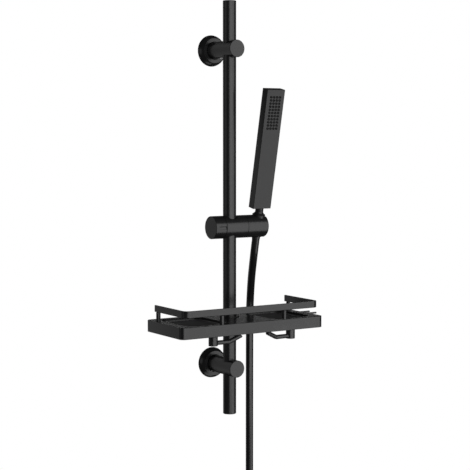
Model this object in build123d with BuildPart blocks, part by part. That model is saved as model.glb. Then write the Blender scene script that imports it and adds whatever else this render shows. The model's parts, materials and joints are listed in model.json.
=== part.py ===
from build123d import *

import os
from math import cos, pi, radians, sin, tan

os.makedirs("parts", exist_ok=True)

# All sizes are in millimetres. The origin is the centre of the upper rosette on the wall,
# +X to the right, +Y into the wall and +Z up.

# Rail tube and its place on the wall
rail_radius = 12.0
rail_wall = 1.5
rail_length = 750.0
rail_overhang = 86.5
plug_lip = 2.0
plug_depth = 14.0
plug_gap = 0.2
edge_break = 0.6
standoff = 64.0
lower_overhang = 85.5

# Wall brackets
rosette_radius = 28.6
rosette_height = 13.1
rosette_wall = 2.0
rosette_round = 5.1
plate_radius = 23.0
plate_thickness = 4.0
boss_radius = 9.0
boss_length = 24.0
seat_radius = 10.5
arm_start = 8.5
arm_radius = 15.6
arm_nose = 26.2
cap_thickness = 3.0
cap_plug_radius = 8.0
pad_thickness = 3.0
screw_hole_radius = 2.6
screw_hole_spacing = 30.0
grub_radius = 2.5
grub_length = 5.5
grub_place = 18.0
fit_gap = 0.1
seat_gap = 0.3

# Slider on the rail
slider_drop = 320.6
slider_radius = 20.7
knob_reach = 40.0
knob_length = 22.4
knob_cap = 5.8
body_left = 17.3
body_right = 28.6
running_gap = 0.06
bush_wall = 2.44
bush_half_height = 14.5
bush_rib_height = 3.0
bush_rib_depth = 1.1
bush_rib_place = 9.0
bush_slit = 2.0
neck_radius = 15.0
neck_length = 15.7
stud_radius = 6.0
shoe_length = 7.0
pointer_length = 16.8
pointer_width = 5.6
pointer_depth = 2.2

# Tilting holder and its pivot
holder_end = 73.0
holder_round = 2.0
handset_offset = 60.6
tilt = 12.2
hose_slot = 15.0
pivot_radius = 4.5
pivot_thread_radius = 4.0
pivot_thread_length = 10.6
pivot_head_radius = 7.5
pivot_head_thickness = 4.0
pivot_wall = 11.1
wave_washer_thickness = 1.6
friction_inner = 9.0
friction_outer = 16.0
friction_depth = 1.0
friction_thickness = 1.25

# Handset, heights measured along its own axis from the slider axis
handset_width = 38.0
handset_depth = 16.6
handset_bottom = 34.4
handset_length = 220.3
handset_wall = 2.2
handset_edge = 0.8
face_thickness = 2.4
mat_thickness = 1.2
mat_margin = 4.0
nozzle_columns = 4
nozzle_rows = 11
nozzle_pitch_across = 6.3
nozzle_pitch_along = 5.71
nozzle_centre = 212.4
nozzle_radius = 2.1
nozzle_gap = 0.15
nozzle_proud = 0.9
neck_stem_radius = 7.5
inlet_flange_radius = 11.85
inlet_flange_height = 20.6
inlet_flange_rim = 1.2
inlet_flare = 6.0
inlet_thread_radius = 10.2
inlet_thread_length = 11.0
inlet_bore = 5.0

# Cone nut and hose end in the holder
nut_top = 20.4
nut_rim = 8.0
nut_small_radius = 9.4
nut_bottom = -19.5
nut_floor = -12.0
nut_gap = 0.15
washer_thickness = 2.0
hose_radius = 7.1
hose_bore = 4.5
sleeve_radius = 7.5
sleeve_end = -24.5
ferrule_flange = 2.4
ferrule_radius = 8.1
ferrule_flange_radius = 9.2

# Shelf tray
shelf_rise = 93.6
tray_width = 300.0
tray_depth = 129.0
tray_back = 44.0
tray_height = 20.8
tray_corner = 9.5
tray_skin = 2.4
pan_depth = 7.0
pan_side_rim = 18.0
pan_rim = 8.6
bridge_width = 92.0
pan_corner = 22.0
pan_floor_round = 3.0
tray_boss_radius = 19.0
sleeve_wall = 2.6
sleeve_lip_radius = 17.0
sleeve_lip = 1.2
sleeve_slit = 2.0
clamp_screw_radius = 3.0
clamp_screw_length = 24.0
clamp_screw_drop = 12.0
clamp_rib_width = 11.0

# Guard rail of the tray
guard_height = 12.0
guard_gap = 15.8
guard_thickness = 3.2
guard_side_inset = 8.0
guard_front_inset = 3.0
guard_corner = 13.0
guard_back_inset = 18.0
post_radius = 4.0
front_post_x = 66.0
side_post_inset = 29.4
post_screw_radius = 1.6
post_screw_length = 14.0
post_screw_grip = 9.0
post_screw_head = 2.8
post_screw_head_height = 1.8
post_boss_radius = 4.4

# Hooks under the tray
hook_x = 82.0
hook_inset = 8.4
hook_post_radius = 8.2
hook_post_length = 16.2
hook_stud_radius = 2.5
hook_stud_length = 6.0
hook_wire_radius = 4.0
hook_wire_height = 4.9
hook_run = 32.5
hook_run_forward = 1.6
hook_tip_run = 22.0
hook_tip_forward = 4.6
hook_tip_rise = 10.5
hook_bend_radius = 14.0
hook_tip_gap = 0.4

# Fork at the right side of the tray
fork_reach = 23.5
fork_prong_width = 3.6
fork_thickness = 3.0
fork_spacing = 21.5
fork_forward = 18.6
fork_base = 5.0
fork_drop = 0.7
fork_pin_radius = 1.2
fork_pin_length = 4.4

# Hose below the holder, put away as a neat coil
hose_x = 78.3
hose_from_wall = 10.5
hose_lead = 30.0
hose_knee_x = 71.5
hose_knee_from_wall = 27.5
hose_knee_drop = 98.2
hose_foot_drop = 133.2
bend_share = 0.45
coil_radius = 71.0
coil_drop = 896.0
coil_lead = 90.0
coil_turns = 2
coil_tail = 46.0
tie_width = 16.0
tie_thickness = 1.6
tie_gap = 0.8
end_sleeve_length = 16.4
end_nut_flats = 24.0
end_nut_length = 14.0
end_nut_floor = 2.3
end_thread_radius = 10.5
end_thread_relief = 0.4

# Places that several pieces share
upper_z = 0.0
rail_top = rail_overhang
rail_bottom = rail_overhang - rail_length
lower_z = rail_bottom + lower_overhang
slider_z = -slider_drop
tray_top = lower_z + shelf_rise
tray_bottom = tray_top - tray_height
tray_back_y = -standoff + tray_back
tray_front_y = tray_back_y - tray_depth
tray_middle_y = (tray_back_y + tray_front_y) / 2
bush_radius = rail_radius + running_gap + bush_wall
up_tilted = Vector(0, -sin(radians(tilt)), cos(radians(tilt)))
handset_root = Vector(handset_offset, -standoff, slider_z)
hose_start = handset_root + up_tilted * sleeve_end


def bracket_section(z):
    """A plane where x is the radius from a bracket's axis and y the distance from the wall."""
    return Plane((0, 0, z), x_dir=(1, 0, 0), z_dir=(0, 0, -1))


def facing_room(distance, z):
    """A plane parallel to the wall, at a distance in front of it, that faces the room."""
    return Plane((0, -distance, z), x_dir=(1, 0, 0), z_dir=(0, -1, 0))


def across_slider(x):
    """A plane across the slider's axis, facing right."""
    return Plane((x, -standoff, slider_z), x_dir=(0, 1, 0), z_dir=(1, 0, 0))


def handset_level(height):
    """A plane across the handset's axis, with its y towards the wall."""
    return Plane(handset_root + up_tilted * height, x_dir=(1, 0, 0), z_dir=up_tilted)


def handset_section():
    """A plane through the handset's axis, where x is the radius and y the height."""
    facing = Vector(0, -cos(radians(tilt)), -sin(radians(tilt)))
    return Plane(handset_root, x_dir=(1, 0, 0), z_dir=facing)


handset_axis = Axis(handset_root, up_tilted)

# Rail tube
with BuildPart() as rail_tube:
    with BuildSketch(Plane.XY.offset(rail_bottom + plug_lip)):
        with Locations((0, -standoff)):
            Circle(rail_radius)
            Circle(rail_radius - rail_wall, mode=Mode.SUBTRACT)
    extrude(amount=rail_length - 2 * plug_lip)
rail_tube.part.label = "rail_tube"
export_step(rail_tube.part, "parts/rail_tube.step")

# End plugs, pressed into the tube
for name, end_z, outward in (("rail_top_plug", rail_top, 1), ("rail_bottom_plug", rail_bottom, -1)):
    with BuildPart() as end_plug:
        with BuildSketch(Plane((0, -standoff, end_z), x_dir=(1, 0, 0), z_dir=(0, 0, -outward))):
            Circle(rail_radius)
        extrude(amount=plug_lip)
        chamfer(end_plug.edges().group_by(Axis.Z)[-1 if outward > 0 else 0], edge_break)
        with BuildSketch(Plane((0, -standoff, end_z), x_dir=(1, 0, 0), z_dir=(0, 0, -outward))):
            Circle(rail_radius - rail_wall - plug_gap)
        extrude(amount=plug_depth)
    end_plug.part.label = name
    export_step(end_plug.part, f"parts/{name}.step")


def bracket(side, z):
    """The five pieces of one wall bracket, from the wall outwards."""
    with BuildPart() as wall_plate:
        with BuildSketch(bracket_section(z)):
            Polygon(
                (0, 0),
                (plate_radius, 0),
                (plate_radius, plate_thickness),
                (seat_radius, plate_thickness),
                (seat_radius, arm_start),
                (boss_radius, arm_start),
                (boss_radius, boss_length),
                (0, boss_length),
                align=None,
            )
        revolve(axis=Axis((0, 0, z), (0, 1, 0)))
        with BuildSketch(facing_room(0, z)):
            with GridLocations(0, screw_hole_spacing, 1, 2):
                Circle(screw_hole_radius)
        extrude(amount=plate_thickness, mode=Mode.SUBTRACT)
    wall_plate.part.label = f"{side}_wall_plate"
    export_step(wall_plate.part, f"parts/{side}_wall_plate.step")

    with BuildPart() as rosette:
        with BuildSketch(bracket_section(z)) as rosette_profile:
            Polygon(
                (rosette_radius, 0),
                (rosette_radius, rosette_height),
                (arm_radius + seat_gap, rosette_height),
                (arm_radius + seat_gap, rosette_height - rosette_wall),
                (rosette_radius - rosette_wall, rosette_height - rosette_wall),
                (rosette_radius - rosette_wall, 0),
                align=None,
            )
            corners = rosette_profile.vertices()
            outer_corner = Vector(rosette_radius, rosette_height)
            inner_corner = outer_corner - Vector(rosette_wall, rosette_wall)
            fillet(corners.sort_by_distance(outer_corner)[0], rosette_round)
            fillet(corners.sort_by_distance(inner_corner)[0], rosette_round - rosette_wall)
        revolve(axis=Axis((0, 0, z), (0, 1, 0)))
    rosette.part.label = f"{side}_rosette"
    export_step(rosette.part, f"parts/{side}_rosette.step")

    arm_end = standoff + arm_nose - cap_thickness
    with BuildPart() as arm:
        with BuildSketch(facing_room(arm_start, z)):
            Circle(arm_radius)
        extrude(amount=arm_end - arm_start)
        with BuildSketch(facing_room(arm_start, z)):
            Circle(boss_radius + fit_gap)
        extrude(amount=boss_length + seat_gap - arm_start, mode=Mode.SUBTRACT)
        with BuildSketch(facing_room(standoff, z)):
            Circle(cap_plug_radius + fit_gap)
        extrude(amount=arm_nose, mode=Mode.SUBTRACT)
        with BuildSketch(Plane.XY.offset(z - arm_radius)):
            with Locations((0, -standoff)):
                Circle(rail_radius + fit_gap)
        extrude(amount=2 * arm_radius, mode=Mode.SUBTRACT)
        with BuildSketch(Plane.XY.offset(z - arm_radius)):
            with Locations((0, -grub_place)):
                Circle(grub_radius + fit_gap)
        extrude(amount=arm_radius, mode=Mode.SUBTRACT)
    arm.part.label = f"{side}_arm"
    export_step(arm.part, f"parts/{side}_arm.step")

    with BuildPart() as clamp_cap:
        with BuildSketch(facing_room(arm_end, z)):
            Circle(arm_radius)
        extrude(amount=cap_thickness)
        chamfer(clamp_cap.edges().group_by(Axis.Y)[0], edge_break)
        with BuildSketch(facing_room(standoff + rail_radius + pad_thickness, z)):
            Circle(cap_plug_radius)
        extrude(until=Until.NEXT)
    clamp_cap.part.label = f"{side}_clamp_cap"
    export_step(clamp_cap.part, f"parts/{side}_clamp_cap.step")

    with BuildPart() as clamp_pad:
        with BuildSketch(facing_room(standoff, z)):
            Circle(cap_plug_radius)
        extrude(amount=rail_radius + pad_thickness - fit_gap)
        with BuildSketch(Plane.XY.offset(z - arm_radius)):
            with Locations((0, -standoff)):
                Circle(rail_radius + fit_gap)
        extrude(amount=2 * arm_radius, mode=Mode.SUBTRACT)
    clamp_pad.part.label = f"{side}_clamp_pad"
    export_step(clamp_pad.part, f"parts/{side}_clamp_pad.step")


bracket("upper", upper_z)
bracket("lower", lower_z)

# Grub screws, one under each bracket arm
with BuildPart() as grub_screws:
    for bracket_z in (upper_z, lower_z):
        with BuildSketch(Plane.XY.offset(bracket_z - boss_radius - fit_gap - grub_length)):
            with Locations((0, -grub_place)):
                Circle(grub_radius)
        extrude(amount=grub_length)
        with BuildSketch(Plane.XY.offset(bracket_z - boss_radius - fit_gap - grub_length)):
            with Locations((0, -grub_place)):
                RegularPolygon(grub_radius / 2, 6)
        extrude(amount=grub_length / 2, mode=Mode.SUBTRACT)
grub_screws.part.label = "bracket_grub_screws"
export_step(grub_screws.part, "parts/bracket_grub_screws.step")

# Split bush that runs on the rail
with BuildPart() as slide_bush:
    with BuildSketch(Plane.XY.offset(slider_z - bush_half_height)):
        with Locations((0, -standoff)):
            Circle(bush_radius)
    extrude(amount=2 * bush_half_height)
    for rib_z in (-bush_rib_place, bush_rib_place):
        with BuildSketch(Plane.XY.offset(slider_z + rib_z - bush_rib_height / 2)):
            with Locations((0, -standoff)):
                Circle(bush_radius + bush_rib_depth)
        extrude(amount=bush_rib_height)
    with BuildSketch(Plane.XY.offset(slider_z - bush_half_height)):
        with Locations((0, -standoff)):
            Circle(rail_radius + running_gap)
            Rectangle(bush_slit, rail_radius * 2, align=(Align.CENTER, Align.MIN))
    extrude(amount=2 * bush_half_height, mode=Mode.SUBTRACT)
slide_bush.part.label = "slide_bush"
export_step(slide_bush.part, "parts/slide_bush.step")

# Slider body with its neck for the clamp knob
with BuildPart() as slider_body:
    with BuildSketch(across_slider(-body_left)):
        Circle(slider_radius)
    extrude(amount=body_left + body_right)
    chamfer(slider_body.edges().filter_by(GeomType.CIRCLE), edge_break / 2)
    with BuildSketch(across_slider(-body_left - neck_length)):
        Circle(neck_radius)
    extrude(amount=neck_length)
    with BuildSketch(Plane.XY.offset(slider_z - slider_radius)):
        with Locations((0, -standoff)):
            Circle(bush_radius + running_gap)
    extrude(amount=2 * slider_radius, mode=Mode.SUBTRACT)
    for rib_z in (-bush_rib_place, bush_rib_place):
        with BuildSketch(Plane.XY.offset(slider_z + rib_z - bush_rib_height / 2 - fit_gap)):
            with Locations((0, -standoff)):
                Circle(bush_radius + bush_rib_depth + fit_gap)
        extrude(amount=bush_rib_height + 2 * fit_gap, mode=Mode.SUBTRACT)
    with BuildSketch(across_slider(-body_left - neck_length)):
        Circle(stud_radius + fit_gap)
    extrude(amount=neck_length + body_left, mode=Mode.SUBTRACT)
    with BuildSketch(across_slider(body_right - friction_depth)):
        Circle(friction_outer + fit_gap)
        Circle(friction_inner - fit_gap, mode=Mode.SUBTRACT)
    extrude(amount=friction_depth, mode=Mode.SUBTRACT)
    with BuildSketch(across_slider(body_right - pivot_thread_length - fit_gap)):
        Circle(pivot_thread_radius + fit_gap)
    extrude(amount=pivot_thread_length + fit_gap, mode=Mode.SUBTRACT)
slider_body.part.label = "slider_body"
export_step(slider_body.part, "parts/slider_body.step")

# Shoe that the knob presses on the bush
with BuildPart() as clamp_shoe:
    with BuildSketch(across_slider(-bush_radius - shoe_length)):
        Circle(stud_radius)
    extrude(amount=shoe_length + stud_radius)
    with BuildSketch(Plane.XY.offset(slider_z - slider_radius)):
        with Locations((0, -standoff)):
            Circle(bush_radius + seat_gap)
    extrude(amount=2 * slider_radius, mode=Mode.SUBTRACT)
clamp_shoe.part.label = "clamp_shoe"
export_step(clamp_shoe.part, "parts/clamp_shoe.step")

# Clamp knob with its stud and a pointer groove
with BuildPart() as clamp_knob:
    with BuildSketch(across_slider(-knob_reach)):
        Circle(slider_radius)
    extrude(amount=knob_length)
    chamfer(clamp_knob.edges().filter_by(GeomType.CIRCLE), edge_break)
    with BuildSketch(across_slider(knob_cap - knob_reach)):
        Circle(neck_radius + seat_gap)
    extrude(amount=knob_length, mode=Mode.SUBTRACT)
    with BuildSketch(across_slider(knob_cap - knob_reach)):
        Circle(stud_radius)
    extrude(amount=knob_reach - knob_cap - bush_radius - shoe_length - seat_gap)
    groove_end = knob_length - knob_reach
    groove_plane = facing_room(standoff + slider_radius - pointer_depth, slider_z)
    with BuildSketch(groove_plane):
        with Locations((groove_end, 0)):
            Rectangle(pointer_length, pointer_width, align=(Align.MAX, Align.CENTER))
    extrude(amount=slider_radius, mode=Mode.SUBTRACT)
clamp_knob.part.label = "clamp_knob"
export_step(clamp_knob.part, "parts/clamp_knob.step")

# Friction washer between the body and the holder
with BuildPart() as friction_washer:
    with BuildSketch(across_slider(body_right - friction_depth)):
        Circle(friction_outer)
        Circle(friction_inner, mode=Mode.SUBTRACT)
    extrude(amount=friction_thickness)
friction_washer.part.label = "friction_washer"
export_step(friction_washer.part, "parts/friction_washer.step")

# Tilting holder, open to the right so that the hose can go in
holder_start = body_right + seat_gap
pocket_floor = holder_start + pivot_wall
nut_taper = (inlet_flange_radius - nut_small_radius) / (nut_top - nut_rim - nut_bottom)


def cone_radius(height):
    """The holder's bore at a height along the handset's axis."""
    return inlet_flange_radius + nut_gap - nut_taper * max(nut_top - nut_rim - height, 0)


bore_reach = slider_radius + pivot_head_radius
with BuildPart() as holder:
    with BuildSketch(across_slider(holder_start)):
        Circle(slider_radius)
    extrude(amount=holder_end - holder_start)
    fillet(holder.edges().filter_by(GeomType.CIRCLE).sort_by(Axis.X)[-1], holder_round)
    chamfer(holder.edges().filter_by(GeomType.CIRCLE).sort_by(Axis.X)[0], edge_break / 2)
    with BuildSketch(handset_section()):
        Polygon(
            (0, -bore_reach),
            (cone_radius(-bore_reach), -bore_reach),
            (cone_radius(nut_top - nut_rim), nut_top - nut_rim),
            (cone_radius(bore_reach), bore_reach),
            (0, bore_reach),
            align=None,
        )
    revolve(axis=handset_axis, mode=Mode.SUBTRACT)
    with BuildSketch(handset_level(-bore_reach)):
        Rectangle(slider_radius, hose_slot, align=(Align.MIN, Align.CENTER))
    extrude(amount=2 * bore_reach, mode=Mode.SUBTRACT)
    with BuildSketch(across_slider(pocket_floor)):
        Circle(pivot_head_radius + seat_gap)
    extrude(amount=handset_offset - pocket_floor, mode=Mode.SUBTRACT)
    with BuildSketch(across_slider(holder_start)):
        Circle(pivot_radius + fit_gap)
    extrude(amount=pivot_wall, mode=Mode.SUBTRACT)
holder.part.label = "holder"
export_step(holder.part, "parts/holder.step")

# Pivot screw and the wave washer under its head
head_x = pocket_floor + wave_washer_thickness + 2 * fit_gap
with BuildPart() as pivot_screw:
    with BuildSketch(across_slider(body_right - pivot_thread_length)):
        Circle(pivot_thread_radius)
    extrude(amount=pivot_thread_length)
    with BuildSketch(across_slider(body_right)):
        Circle(pivot_radius)
    extrude(amount=head_x - body_right)
    with BuildSketch(across_slider(head_x)):
        Circle(pivot_head_radius)
    extrude(amount=pivot_head_thickness)
    with BuildSketch(across_slider(head_x + pivot_head_thickness / 2)):
        RegularPolygon(pivot_radius, 6)
    extrude(amount=pivot_head_thickness, mode=Mode.SUBTRACT)
pivot_screw.part.label = "pivot_screw"
export_step(pivot_screw.part, "parts/pivot_screw.step")

with BuildPart() as wave_washer:
    with BuildSketch(across_slider(pocket_floor + fit_gap)):
        Circle(pivot_head_radius)
        Circle(pivot_radius + seat_gap, mode=Mode.SUBTRACT)
    extrude(amount=wave_washer_thickness)
wave_washer.part.label = "wave_washer"
export_step(wave_washer.part, "parts/wave_washer.step")

# Handset shell, open at the front
handset_front = -handset_depth / 2
cavity_length = handset_length - 2 * handset_wall
with BuildPart() as handset_shell:
    with BuildSketch(handset_level(handset_bottom)):
        with Locations((0, face_thickness / 2)):
            Rectangle(handset_width, handset_depth - face_thickness)
    extrude(amount=handset_length)
    long_edges = handset_shell.edges().filter_by(Axis(handset_root, up_tilted))
    fillet(long_edges.sort_by(Axis.Y)[-2:], handset_edge)
    with BuildSketch(handset_level(handset_bottom + handset_wall)):
        with Locations((0, handset_front + face_thickness)):
            Rectangle(
                handset_width - 2 * handset_wall,
                handset_depth - face_thickness - handset_wall,
                align=(Align.CENTER, Align.MIN),
            )
    extrude(amount=cavity_length, mode=Mode.SUBTRACT)
    with BuildSketch(handset_level(handset_bottom)):
        Circle(neck_stem_radius - handset_wall)
    extrude(amount=handset_wall, mode=Mode.SUBTRACT)
handset_shell.part.label = "handset_shell"
export_step(handset_shell.part, "parts/handset_shell.step")

# Spray face, the whole front of the handset
face_plane = handset_section().offset(handset_depth / 2 - face_thickness)
mat_width = nozzle_columns * nozzle_pitch_across + mat_margin
mat_length = nozzle_rows * nozzle_pitch_along + mat_margin
with BuildPart() as spray_face:
    with BuildSketch(face_plane):
        with Locations((0, handset_bottom)):
            Rectangle(handset_width, handset_length, align=(Align.CENTER, Align.MIN))
    extrude(amount=face_thickness)
    fillet(spray_face.faces().sort_by(Axis(handset_root, face_plane.z_dir))[-1].edges(), handset_edge)
    with BuildSketch(face_plane):
        with Locations((0, nozzle_centre)):
            with GridLocations(nozzle_pitch_across, nozzle_pitch_along, nozzle_columns, nozzle_rows):
                Circle(nozzle_radius + nozzle_gap)
    extrude(amount=face_thickness, mode=Mode.SUBTRACT)
spray_face.part.label = "spray_face"
export_step(spray_face.part, "parts/spray_face.step")

# Soft mat behind the face, with its nozzles standing through the holes
with BuildPart() as nozzle_mat:
    with BuildSketch(face_plane):
        with Locations((0, nozzle_centre)):
            RectangleRounded(mat_width, mat_length, mat_margin / 2)
    extrude(amount=-mat_thickness)
    with BuildSketch(face_plane):
        with Locations((0, nozzle_centre)):
            with GridLocations(nozzle_pitch_across, nozzle_pitch_along, nozzle_columns, nozzle_rows):
                Circle(nozzle_radius)
    extrude(amount=face_thickness + nozzle_proud)
nozzle_mat.part.label = "nozzle_mat"
export_step(nozzle_mat.part, "parts/nozzle_mat.step")

# Threaded inlet at the foot of the handset
thread_end = inlet_flange_height - inlet_thread_length
with BuildPart() as handset_inlet:
    with BuildSketch(handset_section()):
        with BuildLine():
            Polyline(
                (neck_stem_radius, handset_bottom),
                (inlet_bore, handset_bottom),
                (inlet_bore, thread_end),
                (inlet_thread_radius, thread_end),
                (inlet_thread_radius, inlet_flange_height),
                (inlet_flange_radius, inlet_flange_height),
                (inlet_flange_radius, inlet_flange_height + inlet_flange_rim),
            )
            Spline(
                (inlet_flange_radius, inlet_flange_height + inlet_flange_rim),
                (neck_stem_radius, inlet_flange_height + inlet_flange_rim + inlet_flare),
                tangents=[(-1, 1), (0, 1)],
            )
            Line(
                (neck_stem_radius, inlet_flange_height + inlet_flange_rim + inlet_flare),
                (neck_stem_radius, handset_bottom),
            )
        make_face()
    revolve(axis=handset_axis)
handset_inlet.part.label = "handset_inlet"
export_step(handset_inlet.part, "parts/handset_inlet.step")

# Rubber washer between the inlet and the hose end
with BuildPart() as inlet_washer:
    with BuildSketch(handset_level(thread_end - washer_thickness)):
        Circle(inlet_thread_radius - nut_gap)
        Circle(inlet_bore, mode=Mode.SUBTRACT)
    extrude(amount=washer_thickness)
inlet_washer.part.label = "inlet_washer"
export_step(inlet_washer.part, "parts/inlet_washer.step")

# Crimped hose end that the nut pulls up
flange_top = thread_end - washer_thickness
with BuildPart() as hose_ferrule:
    with BuildSketch(handset_section()):
        Polygon(
            (hose_bore, sleeve_end),
            (sleeve_radius, sleeve_end),
            (sleeve_radius, nut_floor),
            (ferrule_radius, nut_floor),
            (ferrule_radius, flange_top - ferrule_flange),
            (ferrule_flange_radius, flange_top - ferrule_flange),
            (ferrule_flange_radius, flange_top),
            (hose_bore, flange_top),
            align=None,
        )
    revolve(axis=handset_axis)
hose_ferrule.part.label = "hose_ferrule"
export_step(hose_ferrule.part, "parts/hose_ferrule.step")

# Cone nut
with BuildPart() as cone_nut:
    with BuildSketch(handset_section()):
        Polygon(
            (inlet_thread_radius + fit_gap, nut_top),
            (inlet_flange_radius, nut_top),
            (inlet_flange_radius, nut_top - nut_rim),
            (nut_small_radius, nut_bottom),
            (sleeve_radius + nut_gap, nut_bottom),
            (sleeve_radius + nut_gap, nut_floor - nut_gap),
            (nut_small_radius, nut_floor + fit_gap),
            (ferrule_flange_radius + fit_gap, flange_top - ferrule_flange - fit_gap),
            (inlet_thread_radius + fit_gap, flange_top - ferrule_flange - fit_gap),
            align=None,
        )
    revolve(axis=handset_axis)
cone_nut.part.label = "cone_nut"
export_step(cone_nut.part, "parts/cone_nut.step")

# Shelf tray, hollow underneath
pan_width = (tray_width - bridge_width) / 2 - pan_side_rim
pan_length = tray_depth - 2 * pan_rim
pan_x = (bridge_width + pan_width) / 2
front_post_y = tray_front_y + guard_front_inset + guard_thickness / 2
side_post_x = tray_width / 2 - guard_side_inset - guard_thickness / 2
side_post_y = tray_back_y - side_post_inset
post_places = [(side * front_post_x, front_post_y) for side in (-1, 1)]
post_places += [(side * side_post_x, side_post_y) for side in (-1, 1)]
hook_y = tray_front_y + hook_inset
sleeve_radius_outer = rail_radius + fit_gap + sleeve_wall
screw_seat = tray_top - post_screw_grip

with BuildPart() as tray_hollow:
    with BuildSketch(Plane.XY.offset(tray_bottom)):
        with Locations((0, tray_middle_y)):
            RectangleRounded(
                tray_width - 2 * tray_skin,
                tray_depth - 2 * tray_skin,
                tray_corner - tray_skin,
            )
    extrude(amount=tray_height - tray_skin)
    with BuildSketch(Plane.XY.offset(tray_top - pan_depth - tray_skin)):
        with Locations((-pan_x, tray_middle_y), (pan_x, tray_middle_y)):
            RectangleRounded(
                pan_width + 2 * tray_skin,
                pan_length + 2 * tray_skin,
                pan_corner + tray_skin,
            )
    extrude(amount=tray_height, mode=Mode.SUBTRACT)
    with BuildSketch(Plane.XY.offset(tray_bottom)):
        with Locations((0, -standoff)):
            Circle(tray_boss_radius)
            Rectangle(clamp_rib_width, tray_back, align=(Align.CENTER, Align.MIN))
        with Locations(*post_places):
            Circle(post_boss_radius)
        with Locations((-hook_x, hook_y), (hook_x, hook_y)):
            Circle(hook_post_radius)
    extrude(amount=tray_height, mode=Mode.SUBTRACT)

with BuildPart() as shelf_tray:
    with BuildSketch(Plane.XY.offset(tray_bottom)):
        with Locations((0, tray_middle_y)):
            RectangleRounded(tray_width, tray_depth, tray_corner)
    extrude(amount=tray_height)
    chamfer(shelf_tray.edges().group_by(Axis.Z)[-1], edge_break)
    with BuildSketch(Plane.XY.offset(tray_top)):
        with Locations((-pan_x, tray_middle_y), (pan_x, tray_middle_y)):
            RectangleRounded(pan_width, pan_length, pan_corner)
    extrude(amount=-pan_depth, mode=Mode.SUBTRACT)
    pan_floors = shelf_tray.faces().filter_by(Axis.Z).group_by(Axis.Z)[-2]
    fillet(pan_floors.edges(), pan_floor_round)
    add(tray_hollow.part, mode=Mode.SUBTRACT)
    with BuildSketch(Plane.XY.offset(tray_bottom)):
        with Locations((0, -standoff)):
            Circle(sleeve_radius_outer + fit_gap)
        with Locations(*post_places):
            Circle(post_screw_radius + fit_gap)
    extrude(amount=tray_height, mode=Mode.SUBTRACT)
    with BuildSketch(Plane.XY.offset(tray_bottom)):
        with Locations(*post_places):
            Circle(post_screw_head + fit_gap)
    extrude(amount=tray_height - post_screw_grip, mode=Mode.SUBTRACT)
    with BuildSketch(Plane.XY.offset(tray_bottom)):
        with Locations((-hook_x, hook_y), (hook_x, hook_y)):
            Circle(hook_stud_radius + fit_gap)
    extrude(amount=hook_stud_length + fit_gap, mode=Mode.SUBTRACT)
    with BuildSketch(facing_room(-tray_back_y, tray_top - clamp_screw_drop)):
        Circle(clamp_screw_radius + fit_gap)
    extrude(amount=tray_back, mode=Mode.SUBTRACT)
    with BuildSketch(Plane.YZ.offset(tray_width / 2)):
        with Locations((-standoff - fork_forward, tray_top - fork_drop - fork_thickness / 2)):
            with GridLocations(fork_spacing, 0, 2, 1):
                Circle(fork_pin_radius + fit_gap)
    extrude(amount=-fork_pin_length - fit_gap, mode=Mode.SUBTRACT)
shelf_tray.part.label = "shelf_tray"
export_step(shelf_tray.part, "parts/shelf_tray.step")

# Split sleeve that centres the tray on the rail, and the screw that clamps it
with BuildPart() as shelf_sleeve:
    with BuildSketch(Plane.XY.offset(tray_bottom)):
        with Locations((0, -standoff)):
            Circle(sleeve_radius_outer)
    extrude(amount=tray_height)
    with BuildSketch(Plane.XY.offset(tray_top)):
        with Locations((0, -standoff)):
            Circle(sleeve_lip_radius)
    extrude(amount=sleeve_lip)
    with BuildSketch(Plane.XY.offset(tray_bottom)):
        with Locations((0, -standoff)):
            Circle(rail_radius + fit_gap)
            Rectangle(sleeve_lip_radius, sleeve_slit, align=(Align.MIN, Align.CENTER))
    extrude(amount=tray_height + sleeve_lip, mode=Mode.SUBTRACT)
shelf_sleeve.part.label = "shelf_sleeve"
export_step(shelf_sleeve.part, "parts/shelf_sleeve.step")

clamp_screw_start = standoff - sleeve_radius_outer - fit_gap - clamp_screw_length
clamp_screw_plane = facing_room(clamp_screw_start, tray_top - clamp_screw_drop)
with BuildPart() as shelf_clamp_screw:
    with BuildSketch(clamp_screw_plane):
        Circle(clamp_screw_radius)
    extrude(amount=clamp_screw_length)
    with BuildSketch(clamp_screw_plane):
        RegularPolygon(clamp_screw_radius / 2, 6)
    extrude(amount=clamp_screw_radius, mode=Mode.SUBTRACT)
shelf_clamp_screw.part.label = "shelf_clamp_screw"
export_step(shelf_clamp_screw.part, "parts/shelf_clamp_screw.step")

# Guard rail, a flat bar bent to a U and open at the back
guard_bottom = tray_top + guard_gap
guard_front_y = tray_front_y + guard_front_inset + guard_thickness / 2
guard_back_y = tray_back_y - guard_back_inset
with BuildPart() as guard_rail:
    with BuildSketch(Plane.XY.offset(guard_bottom)):
        with BuildLine():
            FilletPolyline(
                (-side_post_x, guard_back_y),
                (-side_post_x, guard_front_y),
                (side_post_x, guard_front_y),
                (side_post_x, guard_back_y),
                radius=guard_corner - guard_thickness / 2,
            )
        trace(line_width=guard_thickness)
    extrude(amount=guard_height)
guard_rail.part.label = "guard_rail"
export_step(guard_rail.part, "parts/guard_rail.step")

# Posts that carry the guard rail, and the screws that hold them from below
post_names = ("front_left_post", "front_right_post", "side_left_post", "side_right_post")
for name, place in zip(post_names, post_places):
    with BuildPart() as post:
        with BuildSketch(Plane.XY.offset(tray_top)):
            with Locations(place):
                Circle(post_radius)
        extrude(amount=guard_gap)
        with BuildSketch(Plane.XY.offset(tray_top)):
            with Locations(place):
                Circle(post_screw_radius + fit_gap)
        extrude(amount=post_screw_length - post_screw_grip + fit_gap, mode=Mode.SUBTRACT)
    post.part.label = name
    export_step(post.part, f"parts/{name}.step")

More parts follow.
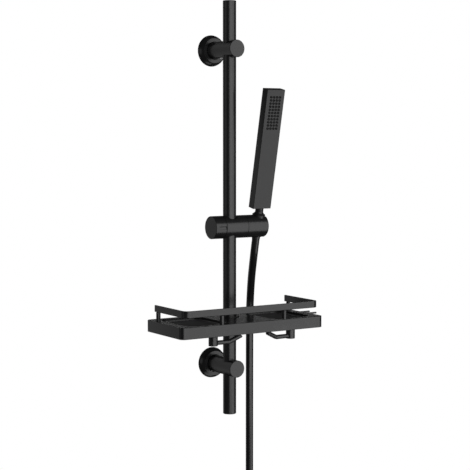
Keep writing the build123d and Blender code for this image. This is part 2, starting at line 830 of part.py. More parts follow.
with BuildPart() as post_screws:
    with BuildSketch(Plane.XY.offset(screw_seat)):
        with Locations(*post_places):
            Circle(post_screw_radius)
    extrude(amount=post_screw_length)
    with BuildSketch(Plane.XY.offset(screw_seat)):
        with Locations(*post_places):
            Circle(post_screw_head)
    extrude(amount=-post_screw_head_height)
    with BuildSketch(Plane.XY.offset(screw_seat - post_screw_head_height)):
        with Locations(*post_places):
            RegularPolygon(post_screw_radius, 6)
    extrude(amount=post_screw_head_height / 2, mode=Mode.SUBTRACT)
post_screws.part.label = "post_screws"
export_step(post_screws.part, "parts/post_screws.step")

# Hooks under the front edge, each a post with a bent wire
hook_bottom = tray_bottom - hook_post_length
wire_z = hook_bottom + hook_wire_height
for name, side in (("left_hook", -1), ("right_hook", 1)):
    wire_start = Vector(side * hook_x, hook_y, wire_z)
    wire_bend = wire_start + Vector(-side * hook_run, -hook_run_forward, 0)
    wire_tip = wire_bend + Vector(-side * hook_tip_run, -hook_tip_forward, hook_tip_rise)
    with BuildPart() as hook:
        with BuildLine() as wire_path:
            FilletPolyline(wire_start, wire_bend, wire_tip, radius=hook_bend_radius)
        with BuildSketch(Plane(wire_start, z_dir=wire_bend - wire_start)):
            Circle(hook_wire_radius)
        sweep(path=wire_path.line)
        split(bisect_by=Plane.XY.offset(tray_bottom - hook_tip_gap), keep=Keep.BOTTOM)
        with BuildSketch(Plane.XY.offset(hook_bottom)):
            with Locations((side * hook_x, hook_y)):
                Circle(hook_post_radius)
        extrude(amount=hook_post_length)
        chamfer(hook.edges().group_by(Axis.Z)[0], edge_break / 2)
        with BuildSketch(Plane.XY.offset(tray_bottom)):
            with Locations((side * hook_x, hook_y)):
                Circle(hook_stud_radius)
        extrude(amount=hook_stud_length)
    hook.part.label = name
    export_step(hook.part, f"parts/{name}.step")

# Fork at the right side of the tray, pinned to it
fork_y = -standoff - fork_forward
fork_top = tray_top - fork_drop
fork_depth = fork_spacing + fork_prong_width
with BuildPart() as side_fork:
    with BuildSketch(Plane.XY.offset(fork_top)):
        with Locations((tray_width / 2, fork_y)):
            Rectangle(fork_reach, fork_depth, align=(Align.MIN, Align.CENTER))
        with Locations((tray_width / 2 + fork_base, fork_y)):
            Rectangle(
                fork_reach,
                fork_spacing - fork_prong_width,
                align=(Align.MIN, Align.CENTER),
                mode=Mode.SUBTRACT,
            )
    extrude(amount=-fork_thickness)
    with BuildSketch(Plane.YZ.offset(tray_width / 2)):
        with Locations((fork_y, fork_top - fork_thickness / 2)):
            with GridLocations(fork_spacing, 0, 2, 1):
                Circle(fork_pin_radius)
    extrude(amount=-fork_pin_length)
side_fork.part.label = "side_fork"
export_step(side_fork.part, "parts/side_fork.step")

# Hose from the holder down behind the tray
coil_z = -coil_drop
lead_top = Vector(hose_x, -hose_from_wall, coil_z + coil_lead)
hose_points = [
    hose_start,
    hose_start - up_tilted * hose_lead,
    Vector(hose_knee_x, -hose_knee_from_wall, slider_z - hose_knee_drop),
    Vector(hose_x, -hose_from_wall, slider_z - hose_foot_drop),
    lead_top,
]
hose_radii = []
hose_length = (hose_points[-1] - hose_points[-2]).length
for before, corner, after in zip(hose_points, hose_points[1:], hose_points[2:]):
    half_turn = radians((corner - before).get_angle(after - corner)) / 2
    shorter = min((corner - before).length, (after - corner).length)
    hose_radii.append(bend_share * shorter / tan(half_turn))
    arc_saving = 2 * hose_radii[-1] * (tan(half_turn) - half_turn)
    hose_length += (corner - before).length - arc_saving
with BuildPart() as hose:
    with BuildLine() as hose_path:
        FilletPolyline(*hose_points, radius=hose_radii)
    with BuildSketch(Plane(hose_start, x_dir=(1, 0, 0), z_dir=-up_tilted)):
        Circle(hose_radius)
    sweep(path=hose_path.line)
hose.part.label = "hose"
export_step(hose.part, "parts/hose.step")

# Outer shape of the hose that is put away, its turns side by side
coil_x = hose_x + coil_radius
coil_shift = 2 * hose_radius * coil_turns
coil_middle_y = -hose_from_wall - coil_shift / 2
front_layer_y = -hose_from_wall - coil_shift
lead_bottom = coil_z - coil_tail
with BuildPart() as hose_coil:
    with BuildSketch(Plane.XY.offset(coil_z)):
        with Locations((coil_x - coil_radius, coil_middle_y)):
            SlotCenterToCenter(coil_shift, 2 * hose_radius, rotation=90)
    revolve(axis=Axis((coil_x, 0, coil_z), (0, 1, 0)))
    with BuildSketch(Plane.XY.offset(coil_z + hose_radius)):
        with Locations((hose_x, -hose_from_wall)):
            Circle(hose_radius)
    extrude(amount=coil_lead - hose_radius)
    with BuildSketch(Plane.XY.offset(coil_z - hose_radius)):
        with Locations((hose_x, front_layer_y)):
            Circle(hose_radius)
    extrude(amount=hose_radius - coil_tail)
hose_coil.part.label = "hose_coil"
export_step(hose_coil.part, "parts/hose_coil.step")

# Tie round the coil, at its right side
tie_inner_width = 2 * hose_radius + 2 * tie_gap
tie_inner_depth = coil_shift + 2 * hose_radius + 2 * tie_gap
with BuildPart() as coil_tie:
    with BuildSketch(Plane.XY.offset(coil_z - tie_width / 2)):
        with Locations((coil_x + coil_radius, coil_middle_y)):
            RectangleRounded(
                tie_inner_width + 2 * tie_thickness,
                tie_inner_depth + 2 * tie_thickness,
                hose_radius,
            )
            RectangleRounded(
                tie_inner_width,
                tie_inner_depth,
                hose_radius - tie_thickness,
                mode=Mode.SUBTRACT,
            )
    extrude(amount=tie_width)
coil_tie.part.label = "coil_tie"
export_step(coil_tie.part, "parts/coil_tie.step")

# Far end of the hose: crimped sleeve, washer and threaded nut
end_flange_bottom = lead_bottom - end_sleeve_length
end_washer_bottom = end_flange_bottom - washer_thickness
end_nut_top = end_flange_bottom + ferrule_flange + fit_gap + end_nut_floor


def end_section():
    """A plane through the far end's axis, where x is the radius and y the height."""
    return Plane((hose_x, front_layer_y, 0), x_dir=(1, 0, 0), z_dir=(0, -1, 0))


end_axis = Axis((hose_x, front_layer_y, 0), (0, 0, 1))
with BuildPart() as hose_end_ferrule:
    with BuildSketch(end_section()):
        Polygon(
            (hose_bore, lead_bottom),
            (sleeve_radius, lead_bottom),
            (sleeve_radius, end_flange_bottom + ferrule_flange),
            (ferrule_flange_radius, end_flange_bottom + ferrule_flange),
            (ferrule_flange_radius, end_flange_bottom),
            (hose_bore, end_flange_bottom),
            align=None,
        )
    revolve(axis=end_axis)
hose_end_ferrule.part.label = "hose_end_ferrule"
export_step(hose_end_ferrule.part, "parts/hose_end_ferrule.step")

with BuildPart() as hose_end_washer:
    with BuildSketch(Plane.XY.offset(end_washer_bottom)):
        with Locations((hose_x, front_layer_y)):
            Circle(ferrule_flange_radius)
            Circle(hose_bore, mode=Mode.SUBTRACT)
    extrude(amount=washer_thickness)
hose_end_washer.part.label = "hose_end_washer"
export_step(hose_end_washer.part, "parts/hose_end_washer.step")

with BuildPart() as hose_end_nut:
    with BuildSketch(Plane.XY.offset(end_nut_top - end_nut_length)):
        with Locations((hose_x, front_layer_y)):
            RegularPolygon(end_nut_flats / 2, 6, major_radius=False)
            Circle(end_thread_radius, mode=Mode.SUBTRACT)
    extrude(amount=end_nut_length)
    with BuildSketch(Plane.XY.offset(end_washer_bottom)):
        with Locations((hose_x, front_layer_y)):
            Circle(end_thread_radius + end_thread_relief)
    extrude(amount=end_nut_top - end_washer_bottom, mode=Mode.SUBTRACT)
    with BuildSketch(Plane.XY.offset(end_nut_top - end_nut_floor)):
        with Locations((hose_x, front_layer_y)):
            Circle(end_thread_radius + end_thread_relief)
            Circle(sleeve_radius + nut_gap, mode=Mode.SUBTRACT)
    extrude(amount=end_nut_floor)
hose_end_nut.part.label = "hose_end_nut"
export_step(hose_end_nut.part, "parts/hose_end_nut.step")

# Checks on the hose: bend radii, volume against section times length, and the whole length
hose_section = pi * hose_radius**2
turn_length = ((2 * pi * coil_radius) ** 2 + (2 * hose_radius) ** 2) ** 0.5
winding_length = turn_length * coil_turns + coil_lead + coil_tail
print("bend radii of the hose in mm:", [round(radius, 1) for radius in hose_radii])
print("hose volume over section times length:", hose.part.volume / (hose_section * hose_length))
print("hose run in mm:", round(hose_length, 1), "coil in mm:", round(winding_length, 1))
print("whole hose in mm:", round(hose_length + winding_length, 1))
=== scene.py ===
import json
from math import cos, pi, radians, sin

import bmesh
import bpy
from mathutils import Matrix, Vector


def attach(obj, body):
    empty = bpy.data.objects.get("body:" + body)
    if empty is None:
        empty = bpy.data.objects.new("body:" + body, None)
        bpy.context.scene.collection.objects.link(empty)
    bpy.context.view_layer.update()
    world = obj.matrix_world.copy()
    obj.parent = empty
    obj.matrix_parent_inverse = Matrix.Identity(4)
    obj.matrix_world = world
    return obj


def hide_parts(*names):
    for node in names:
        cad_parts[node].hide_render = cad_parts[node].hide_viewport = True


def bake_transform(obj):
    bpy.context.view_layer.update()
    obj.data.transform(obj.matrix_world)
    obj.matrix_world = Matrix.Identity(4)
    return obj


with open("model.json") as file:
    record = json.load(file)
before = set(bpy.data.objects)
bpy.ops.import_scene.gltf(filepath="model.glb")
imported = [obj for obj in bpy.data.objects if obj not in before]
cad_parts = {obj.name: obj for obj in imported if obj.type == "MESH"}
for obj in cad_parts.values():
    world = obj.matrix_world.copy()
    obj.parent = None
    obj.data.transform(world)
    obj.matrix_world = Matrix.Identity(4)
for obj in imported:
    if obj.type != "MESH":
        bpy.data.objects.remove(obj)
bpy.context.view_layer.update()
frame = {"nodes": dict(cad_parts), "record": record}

# Sizes and places are in millimetres, as in the part's source; the camera's and the studio's are in metres
MM = 0.001
LOWER_BRACKET_Z = -578.0
TRAY_TOP = -484.4
SLIDER_X = 60.6
SLIDER_Y = -64.0
SLIDER_Z = -320.6
HANDSET_TILT = radians(12.2)


def place(x, y, z):
    """A point given in millimetres."""
    return Vector((x, y, z)) * MM


# Camera at the photograph's viewpoint
CAMERA_PLACE = (-1.2727, -2.0872, -0.1552)
CAMERA_LENS = 100.97
LOOKS_DOWN = 4.31
LOOKS_RIGHT = 32.41

camera_data = bpy.data.cameras.new("camera")
camera_data.sensor_width = 36
camera_data.lens = CAMERA_LENS
camera_data.clip_end = 50
camera = bpy.data.objects.new("camera", camera_data)
camera.location = CAMERA_PLACE
camera.rotation_euler = (radians(90 - LOOKS_DOWN), 0, radians(-LOOKS_RIGHT))
bpy.context.collection.objects.link(camera)
bpy.context.scene.camera = camera
bpy.context.scene.view_settings.view_transform = "Standard"


# Studio: two broad soft lights in front, one behind, weak ones at the left and above
def panel(name, position, target, size, power):
    """A soft rectangular lamp that faces a target."""
    data = bpy.data.lights.new(name, "AREA")
    data.shape = "RECTANGLE"
    data.size, data.size_y = size
    data.energy = power
    lamp = bpy.data.objects.new(name, data)
    lamp.location = position
    lamp.rotation_euler = (Vector(target) - Vector(position)).to_track_quat("-Z", "Y").to_euler()
    bpy.context.collection.objects.link(lamp)


MIDDLE = (0, -0.06, -0.4)
SHELF = (0, -0.06, -0.62)
BEHIND = (-1.05, 0, -0.3)
panel("front_left_panel", position=(-0.6, -3.5, -0.05), target=MIDDLE, size=(2.9, 3.0), power=58)
panel("front_right_panel", position=(1.4, -2.3, -0.62), target=SHELF, size=(2.1, 4.15), power=47)
panel("back_panel", position=(-1.05, 2.6, -0.3), target=BEHIND, size=(3.1, 3.8), power=10.8)
panel("far_left_panel", position=(-3.0, 0.5, -0.1), target=MIDDLE, size=(1.4, 1.6), power=3.5)
panel("top_panel", position=(0.2, -0.8, 2.2), target=MIDDLE, size=(1.6, 1.2), power=1)


def see_white(tree, lit, seen, rays=()):
    """White for the camera and for the rays named, plain shade for all other light."""
    path = tree.nodes.new("ShaderNodeLightPath")
    mix = tree.nodes.new("ShaderNodeMixShader")
    share = path.outputs["Is Camera Ray"]
    for ray in rays:
        either = tree.nodes.new("ShaderNodeMath")
        either.operation = "MAXIMUM"
        tree.links.new(share, either.inputs[0])
        tree.links.new(path.outputs[ray], either.inputs[1])
        share = either.outputs[0]
    tree.links.new(share, mix.inputs["Fac"])
    tree.links.new(lit.outputs[0], mix.inputs[1])
    tree.links.new(seen.outputs[0], mix.inputs[2])
    return mix


WHITE = (1, 1, 1, 1)
AMBIENT_STRENGTH = 0.04

world = bpy.data.worlds.new("studio")
bpy.context.scene.world = world
world.use_nodes = True
ambient = world.node_tree.nodes["Background"]
ambient.inputs["Color"].default_value = WHITE
ambient.inputs["Strength"].default_value = AMBIENT_STRENGTH
seen = world.node_tree.nodes.new("ShaderNodeBackground")
seen.inputs["Strength"].default_value = 1
seen.inputs["Color"].default_value = WHITE
mixed = see_white(world.node_tree, ambient, seen)
world.node_tree.links.new(mixed.outputs[0], world.node_tree.nodes["World Output"].inputs["Surface"])

PAPER_COLOUR = (0.75, 0.75, 0.75, 1)
PAPER_ROUGHNESS = 0.9

pale = bpy.data.materials.new("pale_stage")
pale.use_nodes = True
paper = pale.node_tree.nodes["Principled BSDF"]
paper.inputs["Base Color"].default_value = PAPER_COLOUR
paper.inputs["Roughness"].default_value = PAPER_ROUGHNESS
glow = pale.node_tree.nodes.new("ShaderNodeEmission")
mixed = see_white(pale.node_tree, paper, glow, ("Is Glossy Ray", "Is Transmission Ray"))
pale.node_tree.links.new(mixed.outputs[0], pale.node_tree.nodes["Material Output"].inputs["Surface"])


def card(name, centre, half_width, turn):
    """A flat sheet of the studio, turned about the X axis."""
    shape = bmesh.new()
    bmesh.ops.create_grid(shape, x_segments=1, y_segments=1, size=half_width)
    bmesh.ops.rotate(shape, verts=shape.verts, matrix=Matrix.Rotation(turn, 3, "X"))
    bmesh.ops.translate(shape, verts=shape.verts, vec=centre)
    mesh = bpy.data.meshes.new(name)
    shape.to_mesh(mesh)
    shape.free()
    sheet = bpy.data.objects.new(name, mesh)
    mesh.materials.append(pale)
    bpy.context.collection.objects.link(sheet)


card("floor", centre=(0, 0, -3.0), half_width=0.9, turn=0)
card("backdrop", centre=(5.6, 8.5, -1.7), half_width=2.0, turn=pi / 2)


# Materials
DARK_STOP = 0.3
LIGHT_STOP = 0.7
BAND_AT_SCALE_ONE = 0.314
FINE = {"detail": 4, "roughness": 0.7}


class Wave:
    """A socket whose sums and products become Math nodes."""

    def __init__(self, finish, socket):
        self.finish = finish
        self.socket = socket

    def math(self, operation, *others):
        return self.finish.node("ShaderNodeMath", {"operation": operation}, [self, *others])

    def __add__(self, other):
        return self.math("ADD", other)

    def __sub__(self, other):
        return self.math("SUBTRACT", other)

    def __rsub__(self, other):
        return self.finish.node("ShaderNodeMath", {"operation": "SUBTRACT"}, [other, self])

    def __mul__(self, other):
        return self.math("MULTIPLY", other)

    __radd__ = __add__
    __rmul__ = __mul__


class Finish:
    """A material that grows node by node round one Principled shader."""

    def __init__(self, name):
        self.material = bpy.data.materials.new(name)
        self.material.use_nodes = True
        self.tree = self.material.node_tree
        self.shader = self.tree.nodes["Principled BSDF"]

    def link(self, value, socket):
        if isinstance(value, Wave):
            self.tree.links.new(value.socket, socket)
        else:
            socket.default_value = value

    def node(self, kind, settings=None, inputs=(), output=0):
        made = self.tree.nodes.new(kind)
        for name, value in (settings or {}).items():
            if name == "stops":
                for element, (position, colour) in zip(made.color_ramp.elements, value):
                    element.position = position
                    element.color = (*colour, 1)
            else:
                setattr(made, name, value)
        pairs = inputs.items() if isinstance(inputs, dict) else enumerate(inputs)
        for key, value in pairs:
            self.link(value, made.inputs[key])
        return Wave(self, made.outputs[output])

    def set(self, **values):
        for name, value in values.items():
            self.link(value, self.shader.inputs[name.replace("_", " ")])

    def place(self):
        return self.node("ShaderNodeTexCoord", output="Object")

    def noise(self, scale, detail=2, roughness=0.5):
        values = {"Vector": self.place(), "Scale": scale, "Detail": detail, "Roughness": roughness}
        return self.node("ShaderNodeTexNoise", {}, values, "Fac")

    def streaks(self, density, detail):
        """Noise that is packed more densely along some axes than along others."""
        factors = [self.place(), density]
        stretched = self.node("ShaderNodeVectorMath", {"operation": "MULTIPLY"}, factors, "Vector")
        values = {"Vector": stretched, "Scale": 1, "Detail": detail}
        return self.node("ShaderNodeTexNoise", {}, values, "Fac")

    def bands(self, axis, pitch):
        """Even bands across an axis, from 0 to 1."""
        settings = {"wave_type": "BANDS", "bands_direction": axis}
        values = {"Vector": self.place(), "Scale": BAND_AT_SCALE_ONE / pitch}
        return self.node("ShaderNodeTexWave", settings, values, "Fac")

    def up(self, vector):
        """The upward part of a vector."""
        return self.node("ShaderNodeSeparateXYZ", {}, [vector], "Z")

    def tint(self, factor, dark, light):
        stops = ((DARK_STOP, dark), (LIGHT_STOP, light))
        return self.node("ShaderNodeValToRGB", {"stops": stops}, [factor], "Color")

    def bump(self, height, strength, distance):
        values = {"Height": height, "Strength": strength, "Distance": distance}
        self.set(Normal=self.node("ShaderNodeBump", {}, values, "Normal"))


CLOUD_SCALE = 22
CLOUD_DETAIL = 3
CLOUD_SHARE = 0.75
SPECK_OF_GRAIN = 0.35
ROUGHNESS_SPREAD = 0.05
COAT_BUMP = 0.12


def coat(name, dark, light, roughness, grain, specular=0.5, depth=0.04):
    """A dark coat or skin: faint cloudiness, fine specks and an orange-peel surface."""
    finish = Finish(name)
    cloud = finish.noise(CLOUD_SCALE, CLOUD_DETAIL)
    speck = finish.noise(grain * SPECK_OF_GRAIN, **FINE)
    finish.set(Base_Color=finish.tint(cloud * CLOUD_SHARE + speck * (1 - CLOUD_SHARE), dark, light))
    varied = cloud * ROUGHNESS_SPREAD + speck * ROUGHNESS_SPREAD
    finish.set(Roughness=varied + (roughness - ROUGHNESS_SPREAD))
    finish.shader.inputs["Specular IOR Level"].default_value = specular
    finish.bump(finish.noise(grain, detail=2, roughness=0.6), COAT_BUMP, depth * MM)
    return finish


RINGS = (60, 60, 2600)
RING_DETAIL = 3
RING_SPREAD = 0.12
RING_BUMP = 0.15
RING_DEPTH = 0.1


def turned_metal(name, dark, light, roughness):
    """Bare metal with the fine rings that a lathe leaves."""
    finish = Finish(name)
    rings = finish.streaks(RINGS, RING_DETAIL)
    finish.set(Base_Color=finish.tint(rings, dark, light))
    finish.set(Roughness=rings * RING_SPREAD + (roughness - RING_SPREAD / 2))
    finish.shader.inputs["Metallic"].default_value = 1
    finish.bump(rings, RING_BUMP, RING_DEPTH * MM)
    return finish


NAP_SCALE = 2600
NAP_SPREAD = 0.15
NAP_HEIGHT = 0.3
THREAD_SHARE = 0.6
THREAD_BUMP = 0.5
THREAD_DEPTH = 0.3


def woven(name, dark, light, pitch, roughness, specular):
    """A narrow strap: crossing threads with a soft nap."""
    finish = Finish(name)
    threads = finish.bands("Z", pitch * MM) * finish.bands("Y", pitch * MM)
    nap = finish.noise(NAP_SCALE, **FINE)
    mixture = threads * THREAD_SHARE + nap * (1 - THREAD_SHARE)
    finish.set(Base_Color=finish.tint(mixture, dark, light), Roughness=nap * NAP_SPREAD + roughness)
    finish.shader.inputs["Specular IOR Level"].default_value = specular
    finish.bump(threads + nap * NAP_HEIGHT, THREAD_BUMP, THREAD_DEPTH * MM)
    return finish


def grey(level, blue=0.0):
    """A neutral colour, or one with a trace of blue."""
    return (level, level, level + blue)


BLACK = grey(0.010, 0.0005)
SOFT_BLACK = grey(0.016, 0.0005)
METAL_COAT = {"roughness": 0.26, "grain": 1400}

metal_coat = coat("satin_black_coat", BLACK, SOFT_BLACK, **METAL_COAT)
plastic_coat = coat("satin_black_plastic", BLACK, SOFT_BLACK, roughness=0.29, grain=2200, specular=0.4)
hose_skin = coat("hose_skin", grey(0.009, 0.0005), grey(0.013, 0.0005), roughness=0.2, grain=700, depth=0.03)
rubber = coat("black_rubber", grey(0.006), grey(0.012), roughness=0.6, grain=2600, specular=0.25, depth=0.1)
grey_plastic = coat("grey_plastic", grey(0.10), grey(0.14), roughness=0.45, grain=2000)
steel = turned_metal("steel", grey(0.42, 0.01), grey(0.62, 0.01), roughness=0.32)
strap = woven("strap", grey(0.012), grey(0.035), pitch=1.1, roughness=0.75, specular=0.2)

# Tray: its pan floors are rougher than the rim, and painted a little greyer as painted light on the floors
FLOOR_PAINTED_LIGHT = grey(0.060, 0.001)
BELOW_RIM = 3.0
GRIT_SCALE = 900
CLOUD_TINT = 0.4
GRIT_TINT = 0.2
RIM_ROUGHNESS = 0.23
GRIT_ROUGHNESS = 0.06
FLOOR_ROUGHNESS = 0.3

tray_coat = coat("tray_coat", BLACK, SOFT_BLACK, **METAL_COAT)
below_rim = (TRAY_TOP - BELOW_RIM) * MM - tray_coat.up(tray_coat.place())
facing_up = tray_coat.up(tray_coat.node("ShaderNodeNewGeometry", output="Normal"))
is_floor = below_rim.math("GREATER_THAN", 0) * facing_up.math("GREATER_THAN", 0.5)
grit = tray_coat.noise(GRIT_SCALE, **FINE)
# Cloudiness and grit are random tone; the floor mask adds painted light to the pan floors
shade = tray_coat.noise(CLOUD_SCALE, CLOUD_DETAIL) * CLOUD_TINT + grit * GRIT_TINT + is_floor
tray_coat.set(Base_Color=tray_coat.tint(shade, BLACK, FLOOR_PAINTED_LIGHT))
tray_coat.set(Roughness=is_floor * FLOOR_ROUGHNESS + grit * GRIT_ROUGHNESS + RIM_ROUGHNESS)

FINISHES = {
    "satin_black_metal": metal_coat,
    "satin_black_plastic": plastic_coat,
    "grey_plastic": grey_plastic,
    "steel": steel,
    "soft_rubber": rubber,
    "hose_skin": hose_skin,
    "tie_plastic": strap,
}

# Hose: one smooth line from inside its crimped end to the far fitting
HOSE_RADIUS = 7.1
HOSE_X = 78.3
HOSE_Y = -10.5
CRIMP_END = 24.5
INSIDE_CRIMP = 28
STRAIGHT_EXIT = 30
DOWN_HANDSET = Vector((0, sin(HANDSET_TILT), -cos(HANDSET_TILT)))
HOSE_START = place(SLIDER_X, SLIDER_Y, SLIDER_Z) + DOWN_HANDSET * CRIMP_END * MM
route = [
    HOSE_START - DOWN_HANDSET * INSIDE_CRIMP * MM,
    HOSE_START,
    HOSE_START + DOWN_HANDSET * STRAIGHT_EXIT * MM,
    place(71.5, -27.5, -418.8),
    place(80.3, -10.3, -453.8),
    place(HOSE_X, HOSE_Y, -493.3),
    place(HOSE_X, HOSE_Y, -806),
    place(HOSE_X, HOSE_Y, -846),
]

# The coil's turns lie one in front of the other. A NURBS line runs inside its points, so they reach further
COIL_TURNS = 2
TURN_STEPS = 14
COIL_RADIUS = 71.0
COIL_X = HOSE_X + COIL_RADIUS
COIL_Z = -896.0
COIL_PITCH = 2 * HOSE_RADIUS
COIL_REACH = COIL_RADIUS / cos(pi / TURN_STEPS)
for step in range(COIL_TURNS * TURN_STEPS):
    turn = (step + 0.5) / TURN_STEPS
    angle = pi + 2 * pi * turn
    across = COIL_X + COIL_REACH * cos(angle)
    height = COIL_Z + COIL_REACH * sin(angle)
    route.append(place(across, HOSE_Y - COIL_PITCH * turn, height))
FRONT_TURN_Y = HOSE_Y - COIL_TURNS * COIL_PITCH
route += [place(HOSE_X, FRONT_TURN_Y, -912), place(HOSE_X, FRONT_TURN_Y, -942)]


LINE_STEPS = 16
ROUND_STEPS = 8


def hose_line(radius):
    """The hose's route as a mesh: bare for its centre line, or with the hose's thickness."""
    data = bpy.data.curves.new("hose_route", "CURVE")
    data.dimensions = "3D"
    data.resolution_u = LINE_STEPS
    spline = data.splines.new("NURBS")
    spline.points.add(len(route) - 1)
    for point, position in zip(spline.points, route):
        point.co = (*position, 1)
    spline.order_u = 3
    spline.use_endpoint_u = True
    data.bevel_depth = radius * MM
    data.bevel_resolution = ROUND_STEPS
    data.use_fill_caps = radius > 0
    line = bpy.data.objects.new("hose_route", data)
    mesh = bpy.data.meshes.new_from_object(line)
    bpy.data.objects.remove(line)
    return mesh


# The hose is two pieces that meet below the slider
meeting_z = -400 * MM
cut_reach = 30 * MM
centre_line = [vertex.co.copy() for vertex in hose_line(0).vertices]
split = next(index for index, point in enumerate(centre_line) if point.z < meeting_z)
above, below = centre_line[split - 1], centre_line[split]
meeting_point = above.lerp(below, (above.z - meeting_z) / (above.z - below.z))
meeting_way = (below - above).normalized()
upper_line = centre_line[:split] + [meeting_point]
lower_line = [meeting_point] + centre_line[split:]


def length_of(points):
    """The length of a line through points."""
    return sum((b - a).length for a, b in zip(points, points[1:]))


def beyond(point):
    """How far a point lies past the place where the hose's two pieces meet."""
    return (point - meeting_point).dot(meeting_way)


def hose_piece(name, lower):
    """The hose's tube above or below the place where its two pieces meet."""
    mesh = hose_line(HOSE_RADIUS)
    shape = bmesh.new()
    shape.from_mesh(mesh)
    near = [
        face for face in shape.faces if (face.calc_center_median() - meeting_point).length < cut_reach
    ]
    edges = {edge for face in near for edge in face.edges}
    corners = {vertex for face in near for vertex in face.verts}
    cut = bmesh.ops.bisect_plane(
        shape, geom=[*corners, *edges, *near], plane_co=meeting_point, plane_no=meeting_way
    )
    rim = {item for item in cut["geom_cut"] if isinstance(item, bmesh.types.BMVert)}
    gone = []
    for vertex in shape.verts:
        past = beyond(vertex.co)
        is_lower = past > 0 if abs(past) <= cut_reach else vertex.co.z < meeting_point.z
        if vertex not in rim and is_lower != lower:
            gone.append(vertex)
    bmesh.ops.delete(shape, geom=gone, context="VERTS")
    for face in shape.faces:
        face.smooth = True
    mesh.clear_geometry()
    shape.to_mesh(mesh)
    shape.free()
    piece = bpy.data.objects.new(name, mesh)
    bpy.context.collection.objects.link(piece)
    return piece


hose_upper = hose_piece("hose_upper", False)
hose_lower = hose_piece("hose_lower", True)

# Every CAD node gets the finish of its material slot
nodes = frame["nodes"]
slot_of = {part["node"]: part["material_slot"] for part in frame["record"]["subparts"]}
for name, node in nodes.items():
    node.data.materials.clear()
    node.data.materials.append(FINISHES[slot_of[name]].material)
nodes["shelf_tray"].data.materials[0] = tray_coat.material
for piece in (hose_upper, hose_lower):
    piece.data.materials.append(hose_skin.material)


def dress(piece, name, body):
    """Put a new piece in a CAD node's place, with its finish, and let it ride on a body."""
    piece.data.materials.clear()
    piece.data.materials.append(nodes[name].data.materials[0])
    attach(piece, body)
    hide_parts(name)
    return piece


def new_piece(name, shape, limit=38):
    """A smooth-shaded object from a finished bmesh, its edges beyond a limit in degrees kept sharp."""
    for face in shape.faces:
        face.smooth = True
    for edge in shape.edges:
        edge.smooth = not edge.is_manifold or edge.calc_face_angle(0) < radians(limit)
    mesh = bpy.data.meshes.new(name)
    shape.to_mesh(mesh)
    shape.free()
    piece = bpy.data.objects.new(name, mesh)
    bpy.context.collection.objects.link(piece)
    return piece


DOUBLES = 0.01
FLAT_WITHIN = 0.5


def copy_of(name):
    """A CAD node's shape with its doubles merged and its flat faces whole."""
    shape = bmesh.new()
    shape.from_mesh(nodes[name].data)
    bmesh.ops.remove_doubles(shape, verts=shape.verts, dist=DOUBLES * MM)
    bmesh.ops.dissolve_limit(shape, angle_limit=radians(FLAT_WITHIN), verts=shape.verts, edges=shape.edges)
    return shape


# Edges turned by more than 60 degrees are rounded over; the others stay as they are
SHARP_EDGE = 60
SHADING_LIMIT = 20
CAST_EDGE = 0.6
COVER_EDGE = 0.7


def softened(name, width, shape):
    """A piece in a column node's place, with its right-angled edges rounded over."""
    limit = radians(SHARP_EDGE)
    sharp = [edge for edge in shape.edges if edge.is_manifold and edge.calc_face_angle(0) > limit]
    bmesh.ops.bevel(
        shape,
        geom=sharp,
        offset=width * MM,
        offset_type="OFFSET",
        affect="EDGES",
        segments=2,
        profile=0.5,
        material=-1,
        clamp_overlap=False,
    )
    return dress(new_piece("soft_" + name, shape, SHADING_LIMIT), name, "column")


for name in ("shelf_tray", "guard_rail", "side_fork", "left_hook", "right_hook"):
    softened(name, CAST_EDGE, copy_of(name))

# Wall covers: a short straight rim, a domed flank, a flat face, and a hollow back
COVER_RADIUS = 28.6
COVER_RIM = 1.6
COVER_DEPTH = 13.1
COVER_WALL = 2.0
COVER_HOLE = 15.9
HOLLOW_TOP = 21.2
HOLLOW_MOUTH = 26.2
FLANK_RADIUS = 21.6
FLANK_SLOPES = range(10, 46, 5)


def domed_cover(centre_z):
    """A wall cover, turned about the bracket's axis."""
    first = radians(FLANK_SLOPES[0])
    profile = [(COVER_RADIUS, 0)]
    for slope in FLANK_SLOPES:
        inwards = FLANK_RADIUS * (cos(first) - cos(radians(slope)))
        forwards = FLANK_RADIUS * (sin(radians(slope)) - sin(first))
        profile.append((COVER_RADIUS - inwards, COVER_RIM + forwards))
    profile.append((COVER_HOLE, COVER_DEPTH))
    profile.append((COVER_HOLE, COVER_DEPTH - COVER_WALL))
    profile.append((HOLLOW_TOP, COVER_DEPTH - COVER_WALL))
    profile.append((HOLLOW_MOUTH, 0))
    shape = bmesh.new()
    points = [shape.verts.new(place(radius, -depth, centre_z)) for radius, depth in profile]
    edges = [shape.edges.new(pair) for pair in zip(points, points[1:] + points[:1])]
    bmesh.ops.spin(
        shape,
        geom=points + edges,
        cent=place(0, 0, centre_z),
        axis=(0, 1, 0),
        angle=2 * pi,
        steps=72,
        use_merge=True,
    )
    bmesh.ops.recalc_face_normals(shape, faces=shape.faces)
    return shape


softened("upper_rosette", COVER_EDGE, domed_cover(0))
softened("lower_rosette", COVER_EDGE, domed_cover(LOWER_BRACKET_Z))
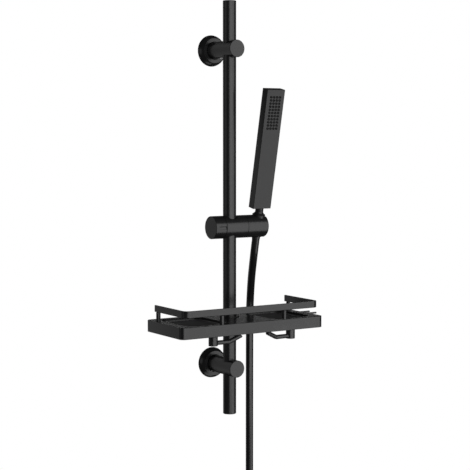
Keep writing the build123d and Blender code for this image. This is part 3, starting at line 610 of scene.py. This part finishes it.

# Clamp knob: its pointer groove gets painted shadow, in dark rubber, along its upper edge and at its closed
# end, which are given from its middle
SHADOW_BAND = 2.1
AT_FLOOR = 0.1
UPPER_SHADOW = (1, 3)
END_SHADOW = (-9, -6)
HALF_GROOVE = 3
FACING = 0.99


def within(limits, value):
    """Whether a length in metres lies between two limits in millimetres."""
    return limits[0] * MM < value < limits[1] * MM


knob = copy_of("clamp_knob")
faces_forward = [face for face in knob.faces if face.normal.y < -FACING]
floors = [face for face in faces_forward if abs(face.calc_center_median().z - SLIDER_Z * MM) < 1 * MM]
groove = max(floors, key=lambda face: face.calc_area())
middle = groove.calc_center_median()
bmesh.ops.inset_region(knob, faces=[groove], thickness=SHADOW_BAND * MM)
knob = dress(new_piece("knob_shape", knob), "clamp_knob", "knob")
# The second slot, dark rubber, is painted shadow on the groove floor
knob.data.materials.append(rubber.material)
for face in knob.data.polygons:
    off = face.center - middle
    in_end_shadow = within(END_SHADOW, off.x) and abs(off.z) < HALF_GROOVE * MM
    if abs(off.y) < AT_FLOOR * MM and (within(UPPER_SHADOW, off.z) or in_end_shadow):
        face.material_index = 1

# Nozzles: each rubber tip gets a rounded lip and a bore
TIP_WALL = 1.1
BORE_DEPTH = 1.2
AT_FRONT = 0.1
FACE_WAY = Vector((0, -cos(HANDSET_TILT), -sin(HANDSET_TILT)))

mat = copy_of("nozzle_mat")
front = max(FACE_WAY.dot(vertex.co) for vertex in mat.verts)
faces_out = [face for face in mat.faces if face.normal.dot(FACE_WAY) > FACING]
tips = [face for face in faces_out if front - FACE_WAY.dot(face.calc_center_median()) < AT_FRONT * MM]
bmesh.ops.inset_individual(mat, faces=tips, thickness=TIP_WALL * MM)
bores = list({vertex for face in tips for vertex in face.verts})
bmesh.ops.translate(mat, verts=bores, vec=FACE_WAY * -BORE_DEPTH * MM)
dress(new_piece("nozzle_tips", mat), "nozzle_mat", "holder")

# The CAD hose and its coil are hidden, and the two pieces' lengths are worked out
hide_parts("hose", "hose_coil")

length_of(upper_line)
length_of(lower_line)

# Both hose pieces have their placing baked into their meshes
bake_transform(hose_upper)
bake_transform(hose_lower)
